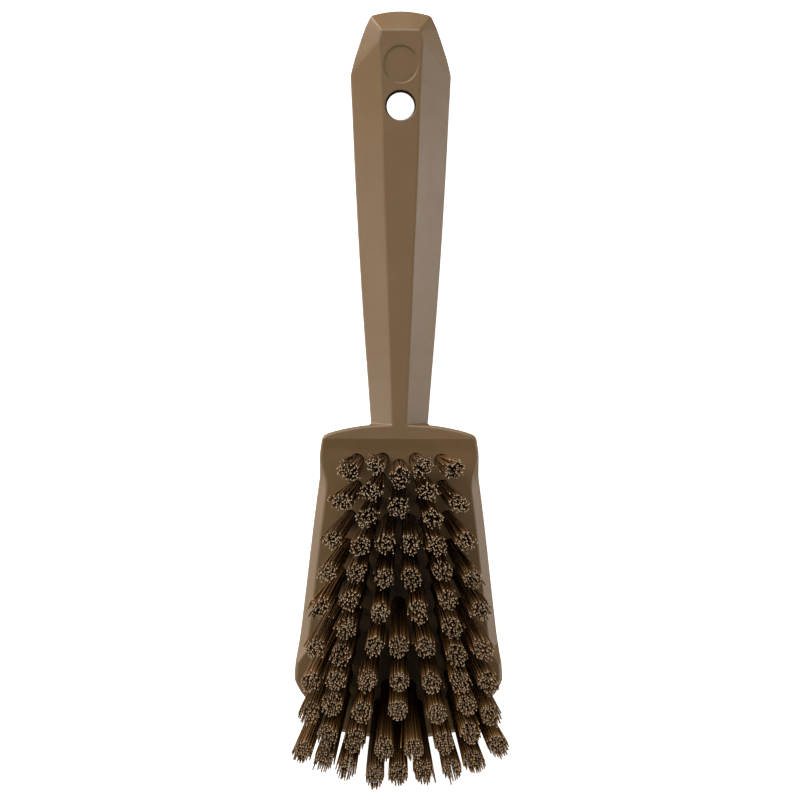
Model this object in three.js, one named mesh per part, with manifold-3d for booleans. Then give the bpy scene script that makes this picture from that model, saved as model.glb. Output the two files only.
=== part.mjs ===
// Hand scrub brush: one moulding (handle and head) with 68 folded filament tufts,
// each held in its drilled hole by a flat anchor strip.
// Millimetres, +Z up. The brush lies on its back with the bristles up.
// +Y runs towards the handle's end, +X to the right, z = 0 is the flat back of the head.
import * as THREE from 'three';
import { mergeVertices } from 'three/addons/utils/BufferGeometryUtils.js';
import Module from 'manifold-3d';

// ---------------------------------------------------------------- driving dimensions
const TOP_Z = 25.5;              // top facet of the handle and rear facet of the head
const RIDGE_Y = -15.47;          // crease where the bristle face starts to fall away
const FACE_SLOPE = 0.11423;      // fall of the bristle face towards the nose, mm per mm
const HANG_HOLE = { y: 101.47, r: 5.1 };
const RECESS = { y: 115.88, rx: 6.0, ry: 6.6, depth: 0.5 };

const TUFT_LENGTH = 40;          // free filament length above the bristle face
const TUFT_TIP_R = 3.0;
const TUFT_ROOT_R = 1.85;
const TUFT_ROOT_DEPTH = 11.7;    // underside of the fold, below the bristle face
const HOLE_R = 2.5;
const HOLE_DEPTH = 12.0;
const SIDES = 8;                 // sides of each tuft and tuft hole
const ANCHOR = { depth: 9.2, length: 5.4, height: 1.8, thick: 0.5 };
const WEB_DEPTH = 7.3;           // hidden web that joins the tufts of one run, above the anchors
const WEB = 0.6;
const GAP = 0.3;                 // clearance between neighbouring pieces

// Handle stations: crease y, half-width of top facet, side y, half-width, underside z,
// half-width of bottom facet.
const HANDLE = [
  [128.33, 6.82, 129.17, 12.81, 2.8, 6.6],
  [123.97, 7.80, 124.78, 14.40, 2.8, 7.6],
  [117.64, 7.38, 118.41, 16.38, 2.8, 7.4],
  [113.42, 7.17, 114.17, 17.51, 2.9, 7.2],
  [111.60, 7.10, 112.40, 17.72, 2.9, 7.1],
  [109.90, 7.03, 110.63, 17.67, 3.0, 7.0],
  [103.58, 6.64, 104.26, 17.30, 3.1, 6.8],
  [82.49, 6.12, 83.03, 16.31, 3.3, 6.4],
  [54.37, 5.06, 54.73, 14.75, 3.2, 5.6],
  [26.25, 4.01, 26.43, 12.88, 2.4, 5.0],
  [-1.87, 2.95, -1.87, 10.68, 0.9, 4.6],
];
const HANDLE_END = { apexY: 135.38, cornerX: 10.5, cornerY: 133.6, top: 17.8, low: 9.4 };

// Head, right half from the rear centre to the nose centre:
// widest outline x, y; edge of the bristle face x, y; drop from face to outline.
const HEAD = [
  [0.0, -10.30, 0.0, -10.80, 1.0],
  [13.4, -11.03, 13.3, -11.50, 1.0],
  [21.1, -12.44, 20.9, -12.90, 1.0],
  [26.2, -14.20, 25.7, -14.60, 1.0],
  [27.3, -16.20, 26.7, RIDGE_Y, 1.0],
  [28.05, -22.00, 27.6, -22.00, 1.0],
  [28.0, -27.20, 26.5, -27.20, 2.6],
  [28.4, -31.84, 25.4, -31.84, 4.4],
  [30.42, -47.39, 27.4, -47.39, 4.5],
  [33.11, -70.77, 30.1, -70.77, 4.5],
  [35.19, -87.81, 32.1, -87.81, 4.5],
  [36.65, -97.50, 32.4, -95.50, 4.6],
  [36.65, -101.00, 31.8, -99.60, 4.6],
  [28.0, -113.10, 26.0, -109.70, 4.2],
  [21.6, -119.15, 20.0, -116.20, 4.0],
  [11.7, -121.11, 11.0, -118.20, 4.0],
  [0.0, -121.65, 0.0, -118.70, 4.0],
];

// Tufts, right half: base x, y on the bristle face; tip x, y.
const OUTER = [
  [14.91, -23.21, 18.12, -26.04], [15.45, -32.44, 20.90, -37.49], [17.32, -43.22, 23.44, -50.52],
  [18.56, -53.18, 25.11, -62.56], [20.83, -63.33, 28.20, -74.86], [21.81, -74.22, 29.54, -88.06],
  [23.00, -84.29, 31.17, -100.29], [23.71, -93.50, 32.14, -111.49], [25.19, -103.54, 34.18, -123.72],
];
const SECOND = [
  [5.91, -22.90, 8.03, -24.89], [7.15, -29.15, 9.67, -33.51], [8.47, -36.82, 11.45, -42.78],
  [9.76, -44.86, 13.20, -52.50], [11.15, -52.26, 15.09, -61.44], [12.51, -60.72, 16.94, -71.68],
  [13.69, -68.37, 18.54, -80.95], [14.97, -76.21, 20.27, -90.45], [16.06, -84.13, 21.76, -100.07],
  [17.43, -90.54, 23.63, -107.86], [18.62, -99.36, 25.25, -118.59], [19.42, -106.81, 26.35, -127.68],
];
const INNER = [
  [3.50, -44.30, 4.73, -51.82], [3.59, -54.01, 4.85, -63.55], [5.29, -63.68, 7.16, -75.26],
  [6.66, -73.79, 9.01, -87.51], [8.32, -83.92, 11.27, -99.79], [9.70, -92.96, 13.14, -110.78],
  [11.47, -101.34, 15.55, -120.99], [13.53, -109.29, 18.36, -130.69],
];
const CENTRE = {
  rear: [[0, -25.15, 0, -28.68], [0, -34.07, 0, -39.45]],
  mid: [[0, -73.79, 0, -87.50], [0, -83.92, 0, -99.78], [0, -92.29, 0, -109.96]],
  front_pair: [[-3.83, -103.54, -5.19, -123.65], [3.83, -103.54, 5.19, -123.65]],
  front_row: [[-6.66, -110.62, -9.03, -132.29], [0, -111.10, 0, -132.87], [6.66, -110.62, 9.03, -132.29]],
};

// ---------------------------------------------------------------- solids
const wasm = await Module();
wasm.setup();

function solidOf(geometry) {
  const g = geometry.index ? geometry.clone() : geometry;
  g.deleteAttribute('normal');
  g.deleteAttribute('uv');
  const m = mergeVertices(g, 1e-4);
  return new wasm.Manifold(new wasm.Mesh({
    numProp: 3,
    vertProperties: Float32Array.from(m.attributes.position.array),
    triVerts: Uint32Array.from(m.index.array),
  }));
}

function geometryOf(solid) {
  const mesh = solid.getMesh();
  const g = new THREE.BufferGeometry();
  g.setAttribute('position', new THREE.BufferAttribute(Float32Array.from(mesh.vertProperties), 3));
  g.setIndex(Array.from(mesh.triVerts));
  g.computeVertexNormals();
  return g;
}

const union = (list) => list.reduce((a, b) => a.add(b));

// Closed mesh from points and triangles.
function indexed(points, tris) {
  const g = new THREE.BufferGeometry();
  g.setAttribute('position', new THREE.Float32BufferAttribute(points.flat(), 3));
  g.setIndex(tris.flat());
  return g;
}

// ---------------------------------------------------------------- brush body
const faceZ = (y) => (y > RIDGE_Y ? TOP_Z : TOP_Z - FACE_SLOPE * (RIDGE_Y - y));

function handleGeometry() {
  const ring = (T, S, B, zt, zs, half) => [
    [0, T[2] ?? T[1], zt], [T[0], T[1], zt], [S[0], S[1], zs + half], [S[0], S[1], zs - half],
    [B[0], B[1], B[2]], [0, B[3] ?? B[1], B[2]], [-B[0], B[1], B[2]],
    [-S[0], S[1], zs - half], [-S[0], S[1], zs + half], [-T[0], T[1], zt],
  ];
  const e = HANDLE_END;
  const rings = [ring([e.cornerX - 0.5, e.cornerY, e.apexY], [e.cornerX + 0.3, e.cornerY - 0.3],
    [e.cornerX - 0.5, e.cornerY, e.low, e.apexY], e.top, (e.top + e.low) / 2, 1.6)];
  for (const [cy, cw, sy, sw, zb, bw] of HANDLE) {
    rings.push(ring([cw, cy], [sw, sy], [bw, cy, zb], TOP_Z, (TOP_Z + zb) / 2, 1.2));
  }
  // the neck runs into the head: top facet ends behind the crease, underside joins the flat back
  rings.push(ring([2.64, -13.5], [9.9, -15.0], [4.4, -21.0, 0.02], TOP_Z, 12.6, 1.2));
  const n = 10;
  const points = rings.flat();
  const tris = [];
  for (let r = 0; r + 1 < rings.length; r++) {
    for (let i = 0; i < n; i++) {
      const a = r * n + i, b = r * n + ((i + 1) % n), c = a + n, d = b + n;
      tris.push([a, c, b], [b, c, d]);
    }
  }
  for (const [base, flip] of [[0, false], [(rings.length - 1) * n, true]]) {
    for (const half of [[0, 1, 2, 3, 4, 5], [0, 5, 6, 7, 8, 9]]) {
      for (let i = 1; i + 1 < half.length; i++) {
        const t = [base + half[0], base + half[i], base + half[i + 1]];
        tris.push(flip ? [t[0], t[2], t[1]] : t);
      }
    }
  }
  return indexed(points, tris);
}

function headGeometry() {
  const n = HEAD.length;
  const rearY = HEAD[0][1], noseY = HEAD[n - 1][1];
  const backY = (y) => -18.5 + (y - rearY) * ((-114.0 + 18.5) / (noseY - rearY));
  const rings = [
    HEAD.map(([, , fx, fy]) => [fx, fy, faceZ(fy)]),
    HEAD.map(([x, y, , fy, drop]) => [x, y, faceZ(fy) - drop]),
    HEAD.map(([x, y]) => [x * 0.985, y * 0.998, 0.42 * faceZ(y)]),
    HEAD.map(([x, y]) => [x * 0.6, backY(y), 0]),
  ];
  // each ring: right half, then the mirrored left half without the two centre points
  const size = 2 * n - 2;
  const points = [];
  for (const half of rings) {
    points.push(...half, ...half.slice(1, n - 1).map(([x, y, z]) => [-x, y, z]));
  }
  const left = (i) => (i === 0 || i === n - 1 ? i : n + i - 1);
  const tris = [];
  for (let r = 0; r + 1 < rings.length; r++) {
    const o = r * size, q = o + size;
    for (let i = 0; i + 1 < n; i++) {
      const a = o + i, b = o + i + 1, c = q + i, d = q + i + 1;
      tris.push([a, b, c], [b, d, c]);
      const la = o + left(i), lb = o + left(i + 1), lc = q + left(i), ld = q + left(i + 1);
      tris.push([la, lc, lb], [lb, lc, ld]);
    }
  }
  const top = 0, bottom = 3 * size;
  for (let i = 0; i + 1 < n; i++) {
    const l0 = left(i), l1 = left(i + 1);
    if (i > 0) { tris.push([top + i, top + l0, top + l1], [bottom + i, bottom + l1, bottom + l0]); }
    if (i + 1 < n - 1) { tris.push([top + i, top + l1, top + i + 1], [bottom + i, bottom + i + 1, bottom + l1]); }
  }
  return indexed(points, tris);
}

// ---------------------------------------------------------------- tufts and anchors
const V = (x, y, z) => new THREE.Vector3(x, y, z);

// One tuft's base point and axis on the bristle face.
function placed([bx, by, tx, ty]) {
  const bz = faceZ(by);
  const dz = Math.sqrt(TUFT_LENGTH ** 2 - (tx - bx) ** 2 - (ty - by) ** 2);
  return { base: V(bx, by, bz), axis: V(tx - bx, ty - by, dz).normalize() };
}
const below = (t, depth) => t.base.clone().addScaledVector(t.axis, -depth);

// Round bar along an axis, from one depth to another, with a radius at each end.
// A flat of the bar, not an edge, faces along the run.
function bar(t, side, from, to, r0, r1) {
  const g = new THREE.CylinderGeometry(r1, r0, from - to, SIDES);
  g.rotateY(Math.PI / SIDES);
  const w = new THREE.Vector3().crossVectors(side, t.axis);
  g.applyMatrix4(new THREE.Matrix4().makeBasis(side, t.axis, w).setPosition(below(t, (from + to) / 2)));
  return solidOf(g);
}

// Flat strip through all the tufts of a run, between two depths, longer at both ends by extra.
function strip(tufts, along, deep, shallow, thick, extra) {
  const stops = tufts.map((t, i) => [t, along[i], 0]);
  if (extra > 0) {
    const last = tufts.length - 1;
    stops.unshift([tufts[0], along[0], -extra]);
    stops.push([tufts[last], along[last], extra]);
  }
  const points = [], tris = [];
  stops.forEach(([t, u, shift], i) => {
    const across = new THREE.Vector3().crossVectors(u, t.axis).multiplyScalar(thick / 2);
    for (const [depth, s] of [[deep, -1], [deep, 1], [shallow, 1], [shallow, -1]]) {
      points.push(below(t, depth).addScaledVector(u, shift).addScaledVector(across, s).toArray());
    }
    if (i > 0) {
      for (let k = 0; k < 4; k++) {
        const a = 4 * i - 4 + k, b = 4 * i - 4 + ((k + 1) % 4);
        tris.push([a, a + 4, b], [b, a + 4, b + 4]);
      }
    }
  });
  const e = 4 * (stops.length - 1);
  tris.push([0, 1, 2], [0, 2, 3], [e, e + 2, e + 1], [e, e + 3, e + 2]);
  return solidOf(indexed(points, tris));
}

// A run of neighbouring tufts: its tufts, its anchors and what the body is drilled with.
function makeRun(rows) {
  const tufts = rows.map(placed);
  const n = tufts.length;
  const along = tufts.map((t, i) => {
    const d = tufts[Math.min(i + 1, n - 1)].base.clone().sub(tufts[Math.max(i - 1, 0)].base);
    return d.addScaledVector(t.axis, -d.dot(t.axis)).normalize();
  });
  const bundles = tufts.map((t, i) => bar(t, along[i], TUFT_ROOT_DEPTH, -TUFT_LENGTH, TUFT_ROOT_R, TUFT_TIP_R));
  const holes = tufts.map((t, i) => bar(t, along[i], HOLE_DEPTH, -3, HOLE_R, HOLE_R));
  const [deep, shallow] = [ANCHOR.depth + ANCHOR.height / 2, ANCHOR.depth - ANCHOR.height / 2];
  const web = strip(tufts, along, WEB_DEPTH + WEB / 2, WEB_DEPTH - WEB / 2, WEB, 0);
  const anchors = strip(tufts, along, deep, shallow, ANCHOR.thick, ANCHOR.length / 2);
  const fold = strip(tufts, along, deep + GAP, shallow - GAP, ANCHOR.thick + 2 * GAP, ANCHOR.length / 2 + GAP);
  const tunnel = strip(tufts, along, deep + GAP, WEB_DEPTH - WEB / 2 - GAP, WEB + 2 * GAP, ANCHOR.length / 2 + GAP);
  return { tufts: union([...bundles, web]).subtract(fold), anchors, drill: union([...holes, tunnel]) };
}

const mirror = (rows) => rows.map(([bx, by, tx, ty]) => [-bx, by, -tx, ty]);
const RUNS = {};
for (const [side, take] of [['left', mirror], ['right', (rows) => rows]]) {
  RUNS[`outer_${side}_rear`] = take(OUTER.slice(0, 3));
  RUNS[`outer_${side}_mid`] = take(OUTER.slice(3, 6));
  RUNS[`outer_${side}_front`] = take(OUTER.slice(6, 9));
  RUNS[`second_${side}_rear`] = take(SECOND.slice(0, 4));
  RUNS[`second_${side}_mid`] = take(SECOND.slice(4, 8));
  RUNS[`second_${side}_front`] = take(SECOND.slice(8, 12));
  RUNS[`inner_${side}_rear`] = take(INNER.slice(0, 4));
  RUNS[`inner_${side}_front`] = take(INNER.slice(4, 8));
}
for (const [name, rows] of Object.entries(CENTRE)) RUNS[`centre_${name}`] = rows;

// ---------------------------------------------------------------- assembly
const group = new THREE.Group();
function piece(name, solid, color, roughness, metalness) {
  const material = new THREE.MeshStandardMaterial({ color, roughness, metalness });
  const mesh = new THREE.Mesh(geometryOf(solid), material);
  mesh.name = name;
  group.add(mesh);
}

let body = solidOf(handleGeometry()).add(solidOf(headGeometry()));

const hole = new THREE.CylinderGeometry(HANG_HOLE.r, HANG_HOLE.r, 60, 20);
hole.rotateX(Math.PI / 2);
hole.translate(0, HANG_HOLE.y, 12);
body = body.subtract(solidOf(hole));

const recess = new THREE.CylinderGeometry(1, 1, 2, 20);
recess.rotateX(Math.PI / 2);
recess.scale(RECESS.rx, RECESS.ry, 1);
recess.translate(0, RECESS.y, TOP_Z - RECESS.depth + 1);
body = body.subtract(solidOf(recess));

const made = Object.entries(RUNS).map(([name, rows]) => [name, makeRun(rows)]);
for (const [, run] of made) body = body.subtract(run.drill);

piece('brush_body', body, 0x76603f, 0.42, 0);
for (const [name, run] of made) piece(`tufts_${name}`, run.tufts, 0x6a4a30, 0.5, 0);
for (const [name, run] of made) piece(`anchors_${name}`, run.anchors, 0xb8bab8, 0.3, 1);

export default group;
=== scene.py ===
import math

import bmesh
import bpy
import numpy as np
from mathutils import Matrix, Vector


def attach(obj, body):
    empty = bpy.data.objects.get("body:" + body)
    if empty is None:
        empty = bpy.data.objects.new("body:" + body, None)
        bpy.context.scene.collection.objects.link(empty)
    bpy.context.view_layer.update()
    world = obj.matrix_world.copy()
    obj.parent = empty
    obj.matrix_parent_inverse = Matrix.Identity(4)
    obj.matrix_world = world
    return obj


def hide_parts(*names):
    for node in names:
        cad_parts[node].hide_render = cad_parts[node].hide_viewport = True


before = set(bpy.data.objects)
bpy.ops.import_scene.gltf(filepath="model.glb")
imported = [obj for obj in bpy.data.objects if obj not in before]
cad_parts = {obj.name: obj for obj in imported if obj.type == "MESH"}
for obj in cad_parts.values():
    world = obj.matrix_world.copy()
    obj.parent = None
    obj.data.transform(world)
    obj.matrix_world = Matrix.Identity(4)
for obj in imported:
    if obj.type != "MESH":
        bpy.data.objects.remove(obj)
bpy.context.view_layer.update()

# Hand scrub brush, lying on its back with the bristles up. Lengths below are in mm and
# become metres when a mesh is made. +Y runs to the handle's end, z = 0 is the back.
MM = 0.001
TOP_Z = 25.5
RIDGE_Y = -15.47
FACE_SLOPE = 0.11423
STEP_Y, STEP_SLOPE = -19.8, 0.235


def seat_z(y):
    """Height that the tufts are measured from."""
    return TOP_Z if y > RIDGE_Y else TOP_Z - FACE_SLOPE * (RIDGE_Y - y)


def top_z(y):
    """Top of the moulding: level behind the ridge, a short steeper fall, then the bristle face."""
    if y > STEP_Y:
        return TOP_Z if y > RIDGE_Y else TOP_Z - STEP_SLOPE * (RIDGE_Y - y)
    return seat_z(y) - (STEP_SLOPE - FACE_SLOPE) * (RIDGE_Y - STEP_Y)


def tapered(points):
    """The moulding and its tufts draw in slightly towards the back: plan size by height."""
    points = np.array(points, float)
    z = points[..., 2]
    grow = ((6000.0 - z) / (6000.0 - TOP_Z)) / ((2000.0 - z) / (2000.0 - TOP_Z))
    points[..., 0] *= grow
    points[..., 1] = -1.87 + (points[..., 1] + 1.87) * grow
    return points


# ------------------------------------------------------------------ brush body
# The body is one loop of stations round its outline, from the nose's centre up the right
# side to the handle's end. A station has four corners: the edge of the top face (f), the
# upper and lower edge of the side (o, l) and the edge of the back (b). Columns are
# f.x f.y  o.x o.y drop  l.x l.y l.z  b.x b.y b.z, where drop is from f down to o.
def head_station(ox, oy, fx, fy, drop):
    back = -18.5 + (oy + 10.30) * (95.5 / 111.35)
    return [fx, fy, ox, oy, drop, 0.985 * ox, 0.998 * oy, 0.42 * seat_z(oy), 0.6 * ox, back, 0.0]


def handle_station(tx, ty, sx, sy, zb, bx, by, half=1.2, zs=None):
    zs = (TOP_Z + zb) / 2 if zs is None else zs
    return [tx, ty, sx, sy, TOP_Z - zs - half, sx, sy, zs - half, bx, by, zb]


def smoothstep(t):
    return t * t * (3 - 2 * t)


def monotone(xs, ys, x):
    """Monotone cubic through the points, so that a profile has no ripples."""
    xs, ys = np.asarray(xs, float), np.asarray(ys, float)
    h, d = np.diff(xs), np.diff(ys) / np.diff(xs)
    m = np.zeros(len(xs))
    m[0], m[-1] = d[0], d[-1]
    for i in range(1, len(xs) - 1):
        if d[i - 1] * d[i] > 0:
            w1, w2 = 2 * h[i] + h[i - 1], h[i] + 2 * h[i - 1]
            m[i] = (w1 + w2) / (w1 / d[i - 1] + w2 / d[i])
    i = int(np.clip(np.searchsorted(xs, x) - 1, 0, len(xs) - 2))
    t = (x - xs[i]) / h[i]
    return float(
        (1 + 2 * t) * (1 - t) ** 2 * ys[i] + t * (1 - t) ** 2 * h[i] * m[i]
        + t * t * (3 - 2 * t) * ys[i + 1] + t * t * (t - 1) * h[i] * m[i + 1]
    )


def body_stations():
    """Stations with the distance over which the corner at each one is rounded."""
    rows = [
        (head_station(0.0, -121.65, 0.0, -120.60, 1.3), 0),
        (head_station(11.7, -121.11, 11.45, -120.08, 1.3), 2.5),
        (head_station(21.6, -119.15, 21.0, -118.25, 1.3), 1.4),
        (head_station(28.1, -113.20, 27.25, -112.60, 1.3), 1.2),
        (head_station(34.75, -104.90, 33.9, -104.35, 1.3), 0.8),
        (head_station(36.10, -102.30, 35.2, -101.90, 1.3), 0.6),
        (head_station(36.78, -100.70, 35.78, -100.40, 1.3), 0.6),
        (head_station(36.80, -98.30, 35.80, -98.20, 1.3), 0.6),
        # the side band starts with a three-cornered facet behind the front corner
        (head_station(36.40, -94.30, 35.50, -94.80, 1.25), 0.3),
        (head_station(35.24, -87.40, 32.45, -90.00, 4.35), 0.3),
    ]
    # side band: wide along the bristles, running out towards the rear in a soft S
    side_y = [-87.81, -70.77, -47.39, -36.78, -31.84, -28.31, -24.07, -21.95, -19.84]
    side_x = [35.19, 33.11, 30.42, 29.09, 28.42, 28.0, 28.02, 28.05, 27.83]
    for y in (-84.0, -76.0, -66.0, -56.0, -46.0, -39.0, -35.0, -33.0, -31.5, -30.0, -28.6, -27.2, -25.8, -24.4, -23.0, -21.6):
        x = monotone(side_y, side_x, y)
        run = smoothstep(min(max((y + 34.0) / (34.0 - 21.6), 0.0), 1.0))
        rows.append((head_station(x, y, x - (3.02 - 2.52 * run), y, 4.5 - 3.5 * run), 0.5))
    rows += [
        (head_station(27.90, STEP_Y, 27.40, STEP_Y, 1.0), 0),
        (head_station(27.62, -18.0, 27.1, -17.8, 1.0), 0.5),
        (head_station(27.30, -15.9, 26.75, RIDGE_Y - 0.02, 1.0), 0.4),
        (head_station(26.75, -14.58, 26.2, -14.85, 1.0), 0.45),
        (head_station(25.70, -13.88, 25.35, -14.28, 1.0), 0.5),
        (head_station(23.67, -13.14, 23.4, -13.60, 1.0), 0.8),
        (head_station(21.1, -12.44, 20.9, -12.90, 1.0), 0.8),
        (head_station(17.4, -11.66, 17.25, -12.13, 1.0), 0.8),
        (head_station(13.4, -11.03, 13.3, -11.50, 1.0), 0.8),
        # foot of the handle: the head's rear wall turns into the handle's side with a small fillet
        ([10.2, -11.12, 10.75, -10.76, 1.0, 10.6, -10.74, 11.0, 6.4, -18.7, 0.0], 0.35),
        ([2.70, -10.66, 10.02, -10.15, 11.3, 10.02, -10.15, 11.8, 4.5, -12.0, 0.55], 0.5),
    ]
    ty = [-9.5, -1.87, 26.25, 54.37, 82.49, 103.58]
    tx = [2.68, 2.95, 4.01, 5.06, 6.12, 6.64]
    sy = [-9.5, -1.87, 26.43, 54.73, 83.03, 104.26]
    sx = [10.14, 10.68, 12.88, 14.75, 16.31, 17.30]
    zb = [0.6, 0.9, 2.4, 3.2, 3.3, 3.1]
    bx = [4.5, 4.6, 5.0, 5.6, 6.4, 6.8]
    for y in (-7.0, -2.0, 5.0, 13.0, 21.0, 29.0, 37.0, 45.0, 53.0, 61.0, 69.0, 77.0, 85.0, 93.0, 100.0):
        v = [monotone(ty, c, y) for c in (tx, sy, sx, zb, bx)]
        rows.append((handle_station(v[0], y, v[2], v[1], v[3], v[4], y), 0.5))
    rows += [
        (handle_station(6.72, 105.0, 17.33, 103.8, 3.1, 6.8, 105.0), 0.6),
        (handle_station(6.98, 109.0, 17.48, 106.6, 3.0, 6.9, 109.0), 0.6),
        (handle_station(7.17, 113.4, 17.58, 108.8, 2.9, 7.1, 113.4), 0.6),
        (handle_station(7.38, 117.64, 17.66, 110.6, 2.9, 7.2, 117.4), 0.6),
        (handle_station(7.82, 123.97, 17.74, 112.4, 2.8, 7.6, 123.0), 0.55),
    ]
    # facet between the bevel and the end, then the end itself with its slightly bowed edge
    for u, x, y in ((0.10, 17.42, 114.2), (0.28, 16.36, 118.4), (0.57, 14.13, 125.3), (0.80, 12.58, 129.6)):
        t = (7.82 - 1.0 * u, 123.97 + 4.36 * u)
        rows.append((handle_station(*t, x, y, 2.8, t[0] - 0.2, t[1] - 0.6, 1.2 + 3.0 * u, 14.15 - 0.55 * u), 0.5))
    for s, d in ((1.0, 1.0), (0.75, 0.3), (0.5, 0.3), (0.25, 0.3), (0.0, 0)):
        bow = 0.08 * (1 - s * s)
        rows.append((handle_station(6.82 * s, 128.29 + bow, 10.62 * s, 135.36 - 1.64 * s * s, 2.8, 6.6 * s, 127.96 + bow, 4.2, 13.6), d))
    out = []
    rows = [(np.array(r, float), d) for r, d in rows]
    for i, (row, d) in enumerate(rows):
        if not d:
            out.append(row)
            continue
        before, after = rows[i - 1][0], rows[i + 1][0]

        def share(other):
            step = max(np.hypot(*(other[:2] - row[:2])), np.hypot(*(other[2:4] - row[2:4])), 1e-6)
            return min(d / step, 0.46)

        a, c = row + (before - row) * share(before), row + (after - row) * share(after)
        out += [(1 - t) ** 2 * a + 2 * t * (1 - t) * row + t * t * c for t in (0, 1 / 3, 2 / 3, 1)]
    return out


def inward(points):
    """Unit normals in plan, to the left of the way the points run."""
    n = len(points)
    out = []
    for i in range(n):
        j, k = i, i
        while j > 0 and np.hypot(*(points[i] - points[j])) < 0.35:
            j -= 1
        while k < n - 1 and np.hypot(*(points[k] - points[i])) < 0.35:
            k += 1
        t = points[k] - points[j]
        t = t / max(np.hypot(*t), 1e-9)
        out.append(np.array([-t[1], t[0]]))
    out[0], out[-1] = np.array([0.0, 1.0]), np.array([0.0, -1.0])
    return out


def reach(points, normals, most):
    """How far a rounded edge goes in at each station: less where the outline turns tightly."""
    out = np.full(len(points), float(most))
    steps = [np.hypot(*(b - a)) for a, b in zip(points, points[1:])]
    for i in range(1, len(points) - 1):
        a, c = normals[i - 1], normals[i + 1]
        turn = a[0] * c[1] - a[1] * c[0]
        if turn > 1e-3:
            out[i] = min(most, 0.6 * (steps[i - 1] + steps[i]) / turn)
    for i in range(1, len(points)):
        out[i] = min(out[i], out[i - 1] + 0.5 * steps[i - 1])
    for i in range(len(points) - 2, -1, -1):
        out[i] = min(out[i], out[i + 1] + 0.5 * steps[i])
    return out


def rounded(before, corner, after, t):
    """Points of a rounded corner. t is how far along each side it starts."""
    sides = []
    for other in (before, after):
        side = other - corner
        length = np.linalg.norm(side)
        sides.append(side / max(length, 1e-9) * min(t, 0.46 * length))
    a, c = corner + sides[0], corner + sides[1]
    return [(1 - s) ** 2 * a + 2 * s * (1 - s) * corner + s * s * c for s in (0, 0.3, 0.7, 1)]


def body_rings():
    rows = body_stations()
    top, back = [r[0:2] for r in rows], [r[8:10] for r in rows]
    nf, nb = inward(top), inward(back)
    half = []
    for r, n, m, tf, tb in zip(rows, nf, nb, reach(top, nf, 0.6), reach(back, nb, 2.4)):
        f = np.array([r[0], r[1], top_z(r[1])])
        o = np.array([r[2], r[3], top_z(r[1]) - r[4]])
        l, b = r[5:8], r[8:11]
        y_in = f[1] + 3 * n[1]
        f_in = np.array([f[0] + 3 * n[0], y_in, f[2] + (top_z(f[1] + 0.01 * n[1]) - f[2]) * 300])
        b_in = np.array([b[0] + 6 * m[0], b[1] + 6 * m[1], b[2]])
        half.append(
            rounded(f_in, f, o, tf) + rounded(f, o, l, 0.8) + rounded(o, l, b, 1.6) + rounded(l, b, b_in, tb)
        )
    return np.array(half)


def new_mesh(name, verts, faces):
    me = bpy.data.meshes.new(name)
    me.from_pydata([tuple(v) for v in verts], [], faces)
    me.update()
    ob = bpy.data.objects.new(name, me)
    bpy.context.scene.collection.objects.link(ob)
    return ob


def body_shell():
    half = tapered(body_rings())
    n, k = half.shape[:2]
    for end in (0, n - 1):
        half[end, :, 0] = 0.0
    loop = np.concatenate([half, half[1:-1][::-1] * np.array([-1.0, 1.0, 1.0])])
    size = len(loop)
    faces = []
    for i in range(size):
        j = (i + 1) % size
        for a in range(k - 1):
            faces.append((i * k + a, i * k + a + 1, j * k + a + 1, j * k + a))
    left = lambda i: (size - i) % size

    def cap(ring, i, j):
        """Face across the body between the stations i and j."""
        near = [a * k + ring for a in range(i, j + 1)]
        faces.append(tuple(dict.fromkeys(near + [left(a) * k + ring for a in range(j, i - 1, -1)])))

    # top: the bristle face, the fall, the level part and a strip across the ridge; back: the flats of the head
    # and of the handle's end, with strips for the rising part between them
    ahead = max(i for i in range(n) if half[i, 0, 1] < RIDGE_Y)
    step = min((i for i in range(n) if half[i, 0, 0] > 20), key=lambda i: abs(half[i, 0, 1] - STEP_Y))
    cap(0, 0, step)
    cap(0, step, ahead)
    cap(0, ahead, ahead + 1)
    cap(0, ahead + 1, n - 1)
    flat = max(i for i in range(n) if half[i, -1, 2] < 1e-6)
    end = min(i for i in range(n) if half[i, -1, 1] > 120 and abs(half[i, -1, 2] - 2.8) < 1e-6)
    cap(k - 1, 0, flat)
    for i in range(flat, end):
        cap(k - 1, i, i + 1)
    cap(k - 1, end, n - 1)
    ob = new_mesh("brush_moulding", loop.reshape(-1, 3) * MM, faces)
    bm = bmesh.new()
    bm.from_mesh(ob.data)
    bmesh.ops.remove_doubles(bm, verts=bm.verts, dist=2e-7)
    bmesh.ops.recalc_face_normals(bm, faces=bm.faces)
    def spans():
        """Faces of the top that reach from the left side to the right."""
        return [f for f in bm.faces if f.normal.z > 0.9 and max(v.co.x for v in f.verts) > 1e-6 and min(v.co.x for v in f.verts) < -1e-6]

    top = spans()
    cut = bmesh.ops.bisect_plane(
        bm, geom=top + list({e for f in top for e in f.edges}) + list({v for f in top for v in f.verts}),
        dist=1e-7, plane_co=(0, RIDGE_Y * MM, 0), plane_no=(0, 1, 0),
    )
    for v in cut["geom_cut"]:
        if isinstance(v, bmesh.types.BMVert) and v.co.z > 0.02:
            v.co.z = TOP_Z * MM
    tops = [(f, f.calc_center_median().y / MM) for f in spans()]
    for flat in ([f for f, y in tops if y > RIDGE_Y], [f for f, y in tops if STEP_Y < y < RIDGE_Y]):
        bmesh.ops.dissolve_faces(bm, faces=flat, use_verts=False)
    bm.to_mesh(ob.data)
    bm.free()
    return ob


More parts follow.
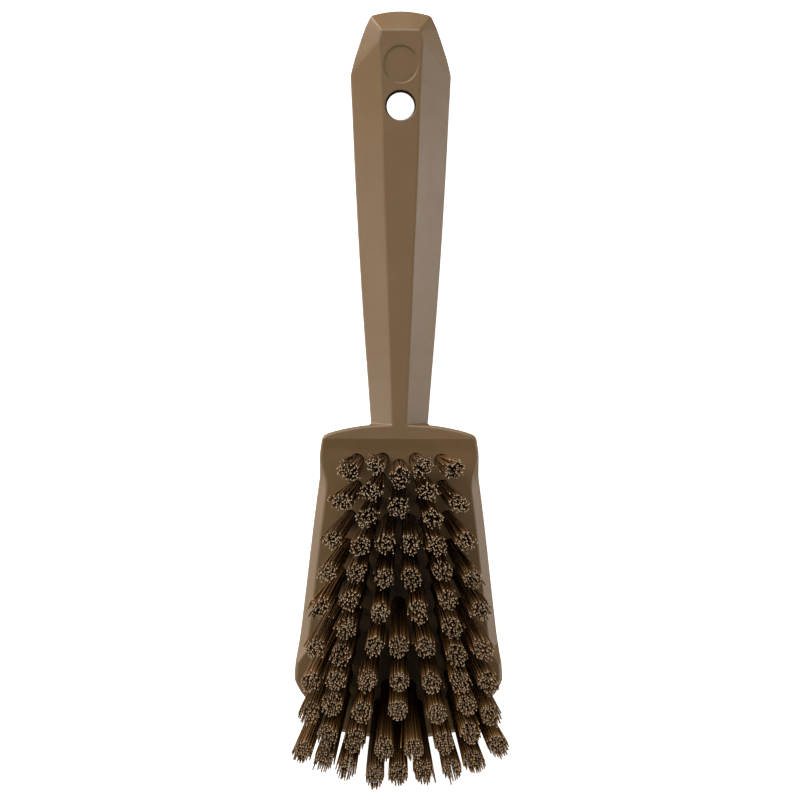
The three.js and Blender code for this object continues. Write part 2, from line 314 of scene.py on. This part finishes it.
def lathe(profile, sides, centre, axis, stretch=(1.0, 1.0)):
    """Closed turned solid. The profile is (radius, distance along the axis), from end to end."""
    a = Vector(axis).normalized()
    u = a.cross(Vector((0, 1, 0)) if abs(a.y) < 0.9 else Vector((1, 0, 0))).normalized()
    w = a.cross(u)
    verts, rings = [], []
    for r, s in profile:
        if r < 1e-6:
            rings.append([len(verts)] * sides)
            verts.append(Vector(centre) + a * s)
            continue
        rings.append(list(range(len(verts), len(verts) + sides)))
        for i in range(sides):
            t = 2 * math.pi * i / sides
            verts.append(Vector(centre) + a * s + u * (r * stretch[0] * math.cos(t)) + w * (r * stretch[1] * math.sin(t)))
    faces = []
    for p, q in zip(rings, rings[1:]):
        for i in range(sides):
            j = (i + 1) % sides
            faces.append(tuple(dict.fromkeys((p[i], p[j], q[j], q[i]))))
    return verts, faces


# ------------------------------------------------------------------ tufts
# Right half: base x, y on the bristle face; tip x, y; and how far the pair of tips sits to
# the right of the middle, and the right tip behind the left one, on the real brush.
OUTER = [
    [14.91, -23.21, 18.12, -26.04, 0.67, 0.22], [15.45, -32.44, 20.90, -37.49, 0.36, -0.45],
    [17.32, -43.22, 23.44, -50.52, 0.08, -0.22], [18.56, -53.18, 25.11, -62.56, 0.22, -0.55],
    [20.83, -63.33, 28.20, -74.86, 0.38, -0.14], [21.81, -74.22, 29.54, -88.06, 0.14, 0.0],
    [23.00, -84.29, 31.17, -100.29, 0.45, 0.0], [23.71, -93.50, 32.14, -111.49, 0.34, -0.35],
    [25.19, -103.54, 34.18, -123.72, 0.77, 0.8],
]
SECOND = [
    [5.91, -22.90, 8.03, -24.89, 0.22, -0.28], [7.15, -29.15, 9.67, -33.51, 0.12, 0.0],
    [8.47, -36.82, 11.45, -42.78, 0.17, 0.0], [9.76, -44.86, 13.20, -52.50, -0.24, 0.0],
    [11.15, -52.26, 15.09, -61.44, -0.13, 0.1], [12.51, -60.72, 16.94, -71.68, 0.07, 0.0],
    [13.69, -68.37, 18.54, -80.95, 0.24, 0.12], [14.97, -76.21, 20.27, -90.45, 0.14, 0.28],
    [16.06, -84.13, 21.76, -100.07, 0.05, -0.26], [17.43, -90.54, 23.63, -107.86, 0.33, 0.0],
    [18.62, -99.36, 25.25, -118.59, 0.08, 0.52], [19.42, -106.81, 26.35, -127.68, 0.38, 0.05],
]
INNER = [
    [3.50, -44.30, 4.73, -51.82, -0.15, 0.22], [3.59, -54.01, 4.85, -63.55, 0.0, 0.0],
    [5.29, -63.68, 7.16, -75.26, 0.0, 0.0], [6.66, -73.79, 9.01, -87.51, 0.27, 0.0],
    [8.32, -83.92, 11.27, -99.79, 0.44, 0.0], [9.70, -92.96, 13.14, -110.78, 0.9, -0.28],
    [11.47, -101.34, 15.55, -120.99, 0.49, -0.28], [13.53, -109.29, 18.36, -130.69, 0.39, -0.26],
]
CENTRE = {
    "rear": [[0, -25.15, 0, -28.68], [0, -34.07, 0, -39.45]],
    "mid": [[0, -73.79, 0, -87.50], [0, -83.92, 0.5, -99.78], [0, -92.29, 0.1, -109.96]],
    "front_pair": [[-3.83, -103.54, -4.96, -123.65], [3.83, -103.54, 5.42, -123.65]],
    "front_row": [[-6.66, -110.62, -8.40, -132.55], [0, -111.10, 0.38, -132.87], [6.66, -110.62, 9.66, -132.03]],
}
HOLE_R, HOLE_DEPTH = 2.5, 12.0
FREE_LENGTH = 40.0
ANCHOR_DEPTH, ANCHOR_LENGTH, ANCHOR_HEIGHT, ANCHOR_THICK = 9.2, 5.4, 1.8, 0.5
FILAMENT_R = 0.235
TRIM = np.array([0.0, -0.12, 0.9928])


def runs():
    """Name of each run of tufts, with (base, tip) of its tufts."""
    out = {}
    for side, sign in (("left", -1), ("right", 1)):
        for name, rows, parts in (
            ("outer", OUTER, (("rear", 0, 3), ("mid", 3, 6), ("front", 6, 9))),
            ("second", SECOND, (("rear", 0, 4), ("mid", 4, 8), ("front", 8, 12))),
            ("inner", INNER, (("rear", 0, 4), ("front", 4, 8))),
        ):
            for part, i, j in parts:
                out[f"{name}_{side}_{part}"] = [
                    ((sign * bx, by), (sign * tx + dx, ty + sign * dy)) for bx, by, tx, ty, dx, dy in rows[i:j]
                ]
    for part, rows in CENTRE.items():
        out[f"centre_{part}"] = [((bx, by), (tx, ty)) for bx, by, tx, ty in rows]
    frames = {}
    for name, tufts in out.items():
        solved = []
        for base, tip in tufts:
            dx, dy, z = tip[0] - base[0], tip[1] - base[1], seat_z(base[1])
            rise = math.sqrt(FREE_LENGTH ** 2 - dx * dx - dy * dy)
            b, t = (Vector(q) for q in tapered([(*base, z), (*tip, z + rise)]))
            solved.append((b, (t - b).normalized()))
        line = (solved[-1][0] - solved[0][0]).normalized()
        frames[name] = []
        for b, a in solved:
            u = (line - a * line.dot(a)).normalized()
            frames[name].append((b, a, u, a.cross(u)))
    return frames


RUNS = runs()

body = body_shell()

cut_verts, cut_faces = [], []


def add_cutter(verts, faces):
    start = len(cut_verts)
    cut_verts.extend(v * MM for v in verts)
    cut_faces.extend(tuple(i + start for i in f) for f in faces)


for tufts in RUNS.values():
    for b, a, u, v in tufts:
        add_cutter(*lathe(
            [(0, -HOLE_DEPTH - 0.6), (HOLE_R * 0.92, -HOLE_DEPTH), (HOLE_R, -HOLE_DEPTH + 0.4), (HOLE_R, 7.0), (0, 7.0)],
            28, b, a))
arc = [math.radians(d) for d in (0, 20, 40, 60, 78)]
hang = [(0, -3.0), (5.5, -3.0)]
hang += [(4.87 + 0.55 * (1 - math.cos(t)), 3.62 - 0.55 * math.sin(t)) for t in reversed(arc)]
hang += [(5.36 + 0.34 * (1 - math.cos(t)), 25.16 + 0.34 * math.sin(t)) for t in arc]
hang += [(5.70, 27.0), (0, 27.0)]
add_cutter(*lathe(hang, 72, (0, 101.72, 0), (0, 0, 1)))
dish = [(0, 24.98), (0.925, 24.98), (0.938, 25.0), (0.946, 25.06), (0.953, 25.18), (0.966, 25.33), (0.982, 25.43), (1.0, 25.49), (1.012, 25.505), (1.03, 25.7), (0, 25.7)]
add_cutter(*lathe(dish, 96, (0, 116.2, 0), (0, 0, 1), (6.28, 6.84)))
cutter = new_mesh("hole_cutter", cut_verts, cut_faces)
bm = bmesh.new()
bm.from_mesh(cutter.data)
bmesh.ops.recalc_face_normals(bm, faces=bm.faces)
bm.to_mesh(cutter.data)
bm.free()

cut = body.modifiers.new("holes", "BOOLEAN")
cut.operation, cut.solver, cut.object = "DIFFERENCE", "EXACT", cutter
drilled = bpy.data.meshes.new_from_object(body.evaluated_get(bpy.context.evaluated_depsgraph_get()))
body.modifiers.clear()
body.data = drilled
body.data.name = "brush_moulding"
cut_mesh = cutter.data
bpy.data.objects.remove(cutter)
bpy.data.meshes.remove(cut_mesh)

bm = bmesh.new()
bm.from_mesh(body.data)
bmesh.ops.remove_doubles(bm, verts=bm.verts, dist=1e-6)
for f in bm.faces:
    f.smooth = True
for e in bm.edges:
    ridge = all(abs(v.co.y - RIDGE_Y * MM) < 2e-6 and abs(v.co.z - TOP_Z * MM) < 2e-5 for v in e.verts)
    rim = all(v.co.y > 0.09 and abs(v.co.z - TOP_Z * MM) < 2e-6 and math.hypot(v.co.x, min(abs(v.co.y - y * MM) for y in (101.72, 116.2))) < 0.0072 for v in e.verts)
    steep = len(e.link_faces) == 2 and e.calc_face_angle(0.0) > math.radians(38)
    e.smooth = not (ridge or rim or steep)
bm.to_mesh(body.data)
bm.free()
place = np.empty(len(body.data.vertices) * 3, np.float32)
body.data.vertices.foreach_get("co", place)
place = place.reshape(-1, 3)
# mask of the hanging hole's wall: the plastic is made matt there and its colour darkened as painted shade
inside = (np.hypot(place[:, 0], place[:, 1] - 101.72 * MM) < 5.45 * MM) & (place[:, 2] < 25.3 * MM)
hole_wall_shade = body.data.attributes.new("hole_wall_shade", "FLOAT", "POINT")
hole_wall_shade.data.foreach_set("value", inside.astype(np.float32))
normals = body.modifiers.new("normals", "WEIGHTED_NORMAL")
normals.keep_sharp = True
normals.weight = 60


# ------------------------------------------------------------------ filaments and anchors
def filament_mesh(name, tufts, seed):
    """Folded filaments of a run of tufts: each goes down one side of its anchor and up the other."""
    rng = np.random.default_rng(seed)
    sides = 6
    paths, radii, along, tint, across = [], [], [], [], []
    free = np.array([1.0, 0.972, 0.82, 0.62, 0.42, 0.2, 0.0])
    for b, a, u, v in tufts:
        b, a, u, v = (np.array(p, float) for p in (b, a, u, v))
        spots = []
        w = 0.48
        while w < 2.22:
            reach = math.sqrt(2.24 ** 2 - w * w)
            count = max(int(2 * reach / 0.45), 1)
            spots += [((i - (count - 1) / 2) * 2 * reach / count, w) for i in range(count)]
            w += 0.40
        clumps = rng.uniform(-1, 1, (4, 2)) * 2.9
        splay = rng.uniform(0.94, 1.06)
        loose = float(np.clip((b[1] + 105.0) / 55.0, 0.0, 1.0))
        oval = rng.uniform(1.04, 1.16) + 0.22 * loose * rng.uniform()
        lean = rng.normal(0, 0.22, 2)
        fall = np.array([TRIM @ u, TRIM @ v])
        way = fall / max(np.hypot(*fall), 1e-6)
        for pu, pw in spots:
            legs = []
            for side in (1, -1):
                foot = np.array([pu + rng.normal(0, 0.04), side * pw])
                tip = np.array([pu, side * (pw - 0.27) * 1.14]) * splay * (1.50 + 0.17 * (1 - loose) ** 1.6) + rng.normal(0, 0.14 + 0.26 * loose, 2)
                tip += way * (way @ tip) * (oval - 1) + lean
                near = clumps[np.argmin(((clumps - tip) ** 2).sum(1))]
                tip += (near - tip) * rng.uniform(0.0, 0.05 + 0.10 * loose)
                if rng.uniform() < 0.015 + 0.055 * loose:
                    tip += tip / max(np.hypot(*tip), 0.3) * rng.uniform(0.3, 1.4)
                elif rng.uniform() < 0.003:
                    tip += tip / max(np.hypot(*tip), 0.3) * rng.uniform(1.8, 3.2)
                # the ends are trimmed level along the whole brush, across leaning filaments
                length = FREE_LENGTH - 0.15 + rng.normal(0, 0.16 + 0.16 * loose) - float(np.clip(fall @ tip / (TRIM @ a), -2.6, 2.6))
                bow = rng.normal(0, 0.12 + 0.20 * loose, 2)
                offset = foot + (tip - foot) * (free ** 1.1)[:, None] + bow * (free * (1 - free) * 2)[:, None]
                points = b + a * (free * length)[:, None] + offset[:, :1] * u + offset[:, 1:] * v
                legs.append((foot, points))
            (f1, p1), (f2, p2) = legs
            low = -(ANCHOR_DEPTH + ANCHOR_HEIGHT / 2 + 0.15)
            turn = []
            for t in (0.0, 0.25, 0.5, 0.75, 1.0):
                mix = f1 * (1 - t) + f2 * t
                mid = math.cos(math.pi * t)
                depth = low - 0.26 * pw * math.sin(math.pi * t)
                turn.append(b + a * depth + u * mix[0] + v * (f1[1] * max(mid, 0) + f2[1] * max(-mid, 0)))
            nib = lambda p: p[0] + (p[0] - p[1]) / np.linalg.norm(p[0] - p[1]) * 0.06
            path = np.vstack([nib(p1), p1, turn, p2[::-1], nib(p2)])
            s = np.concatenate([[1.0, 0.984], free[1:], np.zeros(5), free[:0:-1], [0.984, 1.0]])
            r = FILAMENT_R * rng.uniform(0.92, 1.06) * (1 + (0.20 - 0.19 * loose) * np.minimum(s * 1.6, 1.0))
            r[0] *= 0.82
            r[-1] *= 0.82
            paths.append(path)
            radii.append(r)
            along.append(s)
            tint.append(np.full(len(path), rng.uniform()))
            across.append(np.tile(u, (len(path), 1)))
    paths, radii = np.array(paths), np.array(radii)
    along, tint, across = np.array(along), np.array(tint), np.array(across)
    m, p = paths.shape[:2]
    tangent = np.empty_like(paths)
    tangent[:, 1:-1] = paths[:, 2:] - paths[:, :-2]
    tangent[:, 0], tangent[:, -1] = paths[:, 1] - paths[:, 0], paths[:, -1] - paths[:, -2]
    tangent /= np.linalg.norm(tangent, axis=2, keepdims=True)
    e1 = across - tangent * (across * tangent).sum(2, keepdims=True)
    e1 /= np.linalg.norm(e1, axis=2, keepdims=True)
    e2 = np.cross(tangent, e1)
    angle = 2 * np.pi * np.arange(sides) / sides
    ring = (np.cos(angle)[:, None] * e1[:, :, None, :] + np.sin(angle)[:, None] * e2[:, :, None, :])
    verts = (paths[:, :, None, :] + ring * radii[:, :, None, None]) * MM
    index = np.arange(m * p * sides).reshape(m, p, sides)
    nxt = np.roll(index, -1, axis=2)
    quads = np.stack([index[:, :-1], nxt[:, :-1], nxt[:, 1:], index[:, 1:]], axis=-1).reshape(-1, 4)
    first, last = index[:, 0, ::-1], index[:, -1]
    me = bpy.data.meshes.new(name)
    me.vertices.add(m * p * sides)
    me.vertices.foreach_set("co", verts.reshape(-1).astype(np.float32))
    loops = np.concatenate([quads.reshape(-1), first.reshape(-1), last.reshape(-1)])
    count = np.concatenate([np.full(len(quads), 4), np.full(2 * m, sides)])
    me.loops.add(len(loops))
    me.loops.foreach_set("vertex_index", loops.astype(np.int32))
    me.polygons.add(len(count))
    me.polygons.foreach_set("loop_start", (np.cumsum(count) - count).astype(np.int32))
    me.update(calc_edges=True)
    smooth = np.ones(len(count), bool)
    smooth[len(quads):] = False
    me.polygons.foreach_set("use_smooth", smooth)
    for label, values in (("along", along), ("tint", tint)):
        layer = me.attributes.new(label, "FLOAT", "POINT")
        layer.data.foreach_set("value", np.repeat(values.reshape(-1), sides).astype(np.float32))
    me.validate()
    ob = bpy.data.objects.new(name, me)
    bpy.context.scene.collection.objects.link(ob)
    return ob


def anchor_mesh(name, tufts):
    """One flat strip with rounded edges across the bottom of each hole of a run."""
    bm = bmesh.new()
    for b, a, u, v in tufts:
        made = bmesh.ops.create_cube(bm, size=1.0)["verts"]
        edges = list({e for w in made for e in w.link_edges})
        centre = b - a * ANCHOR_DEPTH
        for w in made:
            w.co = (centre + u * (w.co.x * ANCHOR_LENGTH) + v * (w.co.y * ANCHOR_THICK) + a * (w.co.z * ANCHOR_HEIGHT)) * MM
        bmesh.ops.bevel(bm, geom=edges, offset=0.14 * MM, segments=2, profile=0.5, affect="EDGES")
    bmesh.ops.recalc_face_normals(bm, faces=bm.faces)
    for f in bm.faces:
        f.smooth = True
    me = bpy.data.meshes.new(name)
    bm.to_mesh(me)
    bm.free()
    me.set_sharp_from_angle(angle=math.radians(50))
    ob = bpy.data.objects.new(name, me)
    bpy.context.scene.collection.objects.link(ob)
    return ob


# ------------------------------------------------------------------ materials
def material(name):
    m = bpy.data.materials.new(name)
    m.use_nodes = True
    nodes, links = m.node_tree.nodes, m.node_tree.links
    shader = nodes["Principled BSDF"]

    def node(kind, **values):
        n = nodes.new(kind)
        for key, value in values.items():
            if key in n.inputs:
                n.inputs[key].default_value = value
            else:
                setattr(n, key, value)
        return n

    return m, node, links.new, shader


def ramp(node, stops):
    r = node("ShaderNodeValToRGB")
    e = r.color_ramp.elements
    while len(e) < len(stops):
        e.new(0.5)
    for item, (at, colour) in zip(e, stops):
        item.position, item.color = at, (*colour, 1.0)
    return r


def moulded_plastic():
    m, node, link, shader = material("moulded_brown_plastic")
    where = node("ShaderNodeTexCoord")
    broad = node("ShaderNodeTexNoise", Scale=38.0, Detail=3.0, Roughness=0.55)
    grain = node("ShaderNodeTexNoise", Scale=1500.0, Detail=2.0, Roughness=0.6)
    flow = node("ShaderNodeTexNoise", Scale=150.0, Detail=3.0, Roughness=0.5)
    for n in (broad, grain, flow):
        link(where.outputs["Object"], n.inputs["Vector"])
    tone = ramp(node, [(0.25, (0.1555, 0.0918, 0.0394)), (0.5, (0.1635, 0.0967, 0.0416)), (0.78, (0.1714, 0.1020, 0.0445))])
    link(broad.outputs["Fac"], tone.inputs["Fac"])
    speck = ramp(node, [(0.30, (0.90, 0.90, 0.90)), (0.70, (1.08, 1.08, 1.08))])
    link(grain.outputs["Fac"], speck.inputs["Fac"])
    mix = node("ShaderNodeMix", data_type="RGBA", blend_type="MULTIPLY")
    mix.inputs["Factor"].default_value = 0.6
    link(tone.outputs["Color"], mix.inputs["A"])
    link(speck.outputs["Color"], mix.inputs["B"])
    # the wall of the hanging hole is matt, and its colour is darkened as painted shade for the shade inside the hole
    hole_wall_shade = node("ShaderNodeAttribute", attribute_name="hole_wall_shade")
    wall = node("ShaderNodeMix", data_type="RGBA", blend_type="MULTIPLY")
    link(hole_wall_shade.outputs["Fac"], wall.inputs["Factor"])
    link(mix.outputs["Result"], wall.inputs["A"])
    wall.inputs["B"].default_value = (0.36, 0.34, 0.30, 1.0)
    link(wall.outputs["Result"], shader.inputs["Base Color"])
    rough = node("ShaderNodeMapRange")
    rough.inputs["From Min"].default_value, rough.inputs["From Max"].default_value = 0.25, 0.75
    rough.inputs["To Min"].default_value, rough.inputs["To Max"].default_value = 0.27, 0.37
    link(flow.outputs["Fac"], rough.inputs["Value"])
    matt = node("ShaderNodeMix", data_type="FLOAT")
    link(hole_wall_shade.outputs["Fac"], matt.inputs["Factor"])
    link(rough.outputs["Result"], matt.inputs["A"])
    matt.inputs["B"].default_value = 0.9
    link(matt.outputs["Result"], shader.inputs["Roughness"])
    bump = node("ShaderNodeBump", Strength=0.10, Distance=0.00006)
    link(grain.outputs["Fac"], bump.inputs["Height"])
    link(bump.outputs["Normal"], shader.inputs["Normal"])
    shader.inputs["IOR"].default_value = 1.5
    return m


def filament_plastic():
    m, node, link, shader = material("brown_filament")
    along = node("ShaderNodeAttribute", attribute_name="along")
    tint = node("ShaderNodeAttribute", attribute_name="tint")
    # painted shade and painted highlight: the colour darkens down each filament towards the root for the shade deep in
    # the tuft, and the cut ends are painted light as a highlight
    length = ramp(node, [
        (0.0, (0.050, 0.0220, 0.0043)), (0.55, (0.083, 0.0375, 0.0085)), (0.90, (0.127, 0.062, 0.0175)),
        (0.984, (0.156, 0.081, 0.0285)), (0.996, (0.424, 0.333, 0.232)),
    ])
    link(along.outputs["Fac"], length.inputs["Fac"])
    shade = ramp(node, [(0.0, (0.52, 0.48, 0.44)), (0.5, (0.96, 0.95, 0.94)), (1.0, (1.52, 1.44, 1.36))])
    link(tint.outputs["Fac"], shade.inputs["Fac"])
    mix = node("ShaderNodeMix", data_type="RGBA", blend_type="MULTIPLY")
    mix.inputs["Factor"].default_value = 1.0
    link(length.outputs["Color"], mix.inputs["A"])
    link(shade.outputs["Color"], mix.inputs["B"])
    link(mix.outputs["Result"], shader.inputs["Base Color"])
    where = node("ShaderNodeTexCoord")
    streak = node("ShaderNodeTexNoise", Scale=900.0, Detail=2.0)
    link(where.outputs["Object"], streak.inputs["Vector"])
    rough = node("ShaderNodeMapRange")
    rough.inputs["To Min"].default_value, rough.inputs["To Max"].default_value = 0.34, 0.52
    link(streak.outputs["Fac"], rough.inputs["Value"])
    link(rough.outputs["Result"], shader.inputs["Roughness"])
    bump = node("ShaderNodeBump", Strength=0.12, Distance=0.00003)
    link(streak.outputs["Fac"], bump.inputs["Height"])
    link(bump.outputs["Normal"], shader.inputs["Normal"])
    shader.inputs["IOR"].default_value = 1.5
    shader.inputs["Specular IOR Level"].default_value = 0.3
    return m


def strip_steel():
    m, node, link, shader = material("anchor_steel")
    where = node("ShaderNodeTexCoord")
    spread = node("ShaderNodeMapping")
    spread.inputs["Scale"].default_value = (400.0, 400.0, 6000.0)
    link(where.outputs["Object"], spread.inputs["Vector"])
    brushed = node("ShaderNodeTexNoise", Scale=1.0, Detail=4.0, Roughness=0.65)
    link(spread.outputs["Vector"], brushed.inputs["Vector"])
    tone = ramp(node, [(0.25, (0.42, 0.42, 0.43)), (0.75, (0.60, 0.60, 0.61))])
    link(brushed.outputs["Fac"], tone.inputs["Fac"])
    link(tone.outputs["Color"], shader.inputs["Base Color"])
    rough = node("ShaderNodeMapRange")
    rough.inputs["To Min"].default_value, rough.inputs["To Max"].default_value = 0.22, 0.42
    link(brushed.outputs["Fac"], rough.inputs["Value"])
    link(rough.outputs["Result"], shader.inputs["Roughness"])
    shader.inputs["Metallic"].default_value = 1.0
    return m


plastic, bristle, steel = moulded_plastic(), filament_plastic(), strip_steel()

body.data.materials.clear()
body.data.materials.append(plastic)
body.data.polygons.foreach_set("material_index", np.zeros(len(body.data.polygons), np.int32))
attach(body, "root")
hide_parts("brush_body")

for number, (name, tufts) in enumerate(RUNS.items()):
    tuft = filament_mesh(f"filaments_{name}", tufts, 4100 + number)
    tuft.data.materials.append(bristle)
    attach(tuft, "root")
    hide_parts(f"tufts_{name}")
    strip = anchor_mesh(f"strips_{name}", tufts)
    strip.data.materials.append(steel)
    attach(strip, "root")
    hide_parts(f"anchors_{name}")

# ------------------------------------------------------------------ floor, light and camera
floor = new_mesh("floor", [(-9, -9, -0.00005), (9, -9, -0.00005), (9, 9, -0.00005), (-9, 9, -0.00005)], [(0, 1, 2, 3)])
white, node, link, shader = material("studio_floor")
where = node("ShaderNodeTexCoord")
soft = node("ShaderNodeTexNoise", Scale=3.0, Detail=2.0)
link(where.outputs["Object"], soft.inputs["Vector"])
pale = ramp(node, [(0.3, (0.90, 0.90, 0.90)), (0.7, (0.92, 0.92, 0.92))])
link(soft.outputs["Fac"], pale.inputs["Fac"])
link(pale.outputs["Color"], shader.inputs["Base Color"])
shader.inputs["Roughness"].default_value = 0.9
shader.inputs["Specular IOR Level"].default_value = 0.0
shader.inputs["Emission Color"].default_value = (1.0, 1.0, 1.0, 1.0)
shader.inputs["Emission Strength"].default_value = 0.85
side = node("ShaderNodeNewGeometry")
clear = node("ShaderNodeBsdfTransparent")
choose = node("ShaderNodeMixShader")
link(side.outputs["Backfacing"], choose.inputs["Fac"])
link(shader.outputs["BSDF"], choose.inputs[1])
link(clear.outputs["BSDF"], choose.inputs[2])
link(choose.outputs["Shader"], white.node_tree.nodes["Material Output"].inputs["Surface"])
floor.data.materials.append(white)
floor.visible_glossy = False

world = bpy.data.worlds.new("studio")
bpy.context.scene.world = world
world.use_nodes = True
nodes, links = world.node_tree.nodes, world.node_tree.links
sky = nodes["Background"]
where = nodes.new("ShaderNodeTexCoord")
# soft white patches all round the brush: azimuth from +X, elevation, outer and inner half-width in degrees, level
PATCHES = [
    (0, 90, 35, 10, 0.08), (0, 55, 36, 8, 0.13), (60, 55, 36, 8, 0.76), (120, 55, 36, 8, 1.48), (180, 55, 36, 8, 0.06),
    (0, 25, 30, 6, 0.40), (90, 25, 30, 6, 2.30), (135, 25, 30, 6, 4.00), (270, 25, 30, 6, 0.75), (325, 25, 30, 6, 0.45),
    (90, 5, 20, 4, 0.95), (135, 5, 20, 4, 4.6), (270, 5, 20, 4, 1.6),
    (0, -16, 22, 4, 1.55), (135, -16, 22, 4, 3.6), (180, -16, 22, 4, 0.5), (270, -16, 22, 4, 0.2),
    (180, -42, 30, 6, 1.3), (148, -36, 22, 6, 1.2), (90, -42, 24, 6, 0.4), (0, -42, 24, 6, 0.45),
]
glow = None
for azimuth, elevation, outer, inner, level in PATCHES:
    turn, lift = math.radians(azimuth), math.radians(elevation)
    facing = nodes.new("ShaderNodeVectorMath")
    facing.operation = "DOT_PRODUCT"
    facing.inputs[1].default_value = (math.cos(lift) * math.cos(turn), math.cos(lift) * math.sin(turn), math.sin(lift))
    links.new(where.outputs["Generated"], facing.inputs[0])
    patch = nodes.new("ShaderNodeMapRange")
    patch.interpolation_type = "SMOOTHSTEP"
    patch.inputs["From Min"].default_value = math.cos(math.radians(outer))
    patch.inputs["From Max"].default_value = math.cos(math.radians(inner))
    patch.inputs["To Max"].default_value = level
    links.new(facing.outputs["Value"], patch.inputs["Value"])
    if glow is None:
        glow = patch.outputs["Result"]
        continue
    both = nodes.new("ShaderNodeMath")
    links.new(glow, both.inputs[0])
    links.new(patch.outputs["Result"], both.inputs[1])
    glow = both.outputs["Value"]
# the backdrop itself is plain white
path = nodes.new("ShaderNodeLightPath")
backdrop = nodes.new("ShaderNodeMix")
links.new(path.outputs["Is Camera Ray"], backdrop.inputs["Factor"])
links.new(glow, backdrop.inputs["A"])
backdrop.inputs["B"].default_value = 1.0
links.new(backdrop.outputs["Result"], sky.inputs["Color"])
sky.inputs["Strength"].default_value = 1.0


def softbox(name, place, target, width, height, power, colour):
    lamp = bpy.data.lights.new(name, "AREA")
    lamp.shape, lamp.size, lamp.size_y, lamp.energy, lamp.color = "RECTANGLE", width, height, power, colour
    ob = bpy.data.objects.new(name, lamp)
    ob.location = place
    ob.rotation_euler = (Vector(target) - Vector(place)).to_track_quat("-Z", "Y").to_euler()
    ob.visible_camera = False
    bpy.context.scene.collection.objects.link(ob)


softbox("softbox_left", (-1.25, 0.20, 0.80), (0, 0.03, 0.02), 1.6, 0.5, 5.0, (1.0, 0.97, 0.93))
softbox("softbox_near", (-0.15, 0.03, 0.022), (0, 0.03, 0.022), 0.13, 0.036, 0.0155, (1.0, 0.98, 0.95))
softbox("softbox_near_right", (0.15, 0.045, 0.022), (0, 0.045, 0.022), 0.10, 0.036, 0.016, (0.96, 0.98, 1.0))
softbox("softbox_right", (1.295, -0.47, 0.26), (0, 0, 0.02), 1.2, 0.42, 5.2, (0.96, 0.98, 1.0))

camera = bpy.data.cameras.new("camera")
camera.lens, camera.sensor_width, camera.sensor_fit = 764.9, 36.0, "HORIZONTAL"
camera.clip_start, camera.clip_end = 0.05, 20.0
view = bpy.data.objects.new("camera", camera)
view.location = (0.0002, -0.00187, 6.0)
view.rotation_euler = (0.0, 0.0, math.radians(0.22))
bpy.context.scene.collection.objects.link(view)
bpy.context.scene.camera = view
bpy.context.scene.view_settings.view_transform = "Standard"
bpy.context.scene.view_settings.look = "None"
